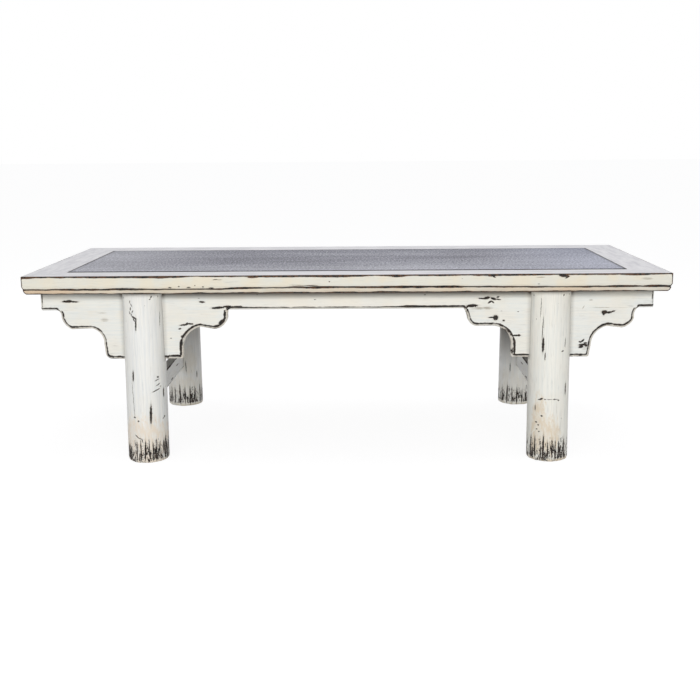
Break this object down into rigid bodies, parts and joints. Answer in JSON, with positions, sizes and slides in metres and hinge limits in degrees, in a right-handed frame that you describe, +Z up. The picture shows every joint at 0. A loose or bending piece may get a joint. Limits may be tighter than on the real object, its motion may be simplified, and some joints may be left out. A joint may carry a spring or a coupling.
{
  "type": "kang table",
  "caption": "Low rectangular recessed-leg table with a mitred panel top, round legs held in slotted bridle joints, shaped spandrels and a stretcher at each end.",
  "frame": {"origin": "on the floor under the centre of the table", "axes": "+X along the table, +Y from front to back, +Z up"},
  "size_m": [1.45, 0.626, 0.435],
  "materials": {
    "frame_paint": "distressed cream-white paint rubbed through to dark wood along the edges",
    "panel_finish": "slate blue-grey, finely mottled, matt",
    "bare_wood": "unpainted, dry",
    "leg_paint": "distressed white paint, cracked and worn through at the feet",
    "board_paint": "distressed white paint with dark rubbed edges",
    "stretcher_paint": "distressed white paint, dark worn top",
    "peg_wood": "plain hardwood, oiled by age"
  },
  "bodies": {
    "root": {"long_rail_front": "frame_paint", "long_rail_back": "frame_paint", "end_rail_left": "frame_paint", "end_rail_right": "frame_paint", "top_panel": "panel_finish", "brace_left": "bare_wood", "brace_middle": "bare_wood", "brace_right": "bare_wood", "leg_front_left": "leg_paint", "leg_front_right": "leg_paint", "leg_back_left": "leg_paint", "leg_back_right": "leg_paint", "apron_front": "board_paint", "apron_back": "board_paint", "end_apron_left": "board_paint", "end_apron_right": "board_paint", "spandrel_front_left": "board_paint", "spandrel_front_right": "board_paint", "spandrel_back_left": "board_paint", "spandrel_back_right": "board_paint", "side_stretcher_left": "stretcher_paint", "side_stretcher_right": "stretcher_paint", "mitre_pegs": "peg_wood", "apron_dowels": "peg_wood", "spandrel_dowels": "peg_wood", "stretcher_pegs": "peg_wood"}
  },
  "joints": []
}
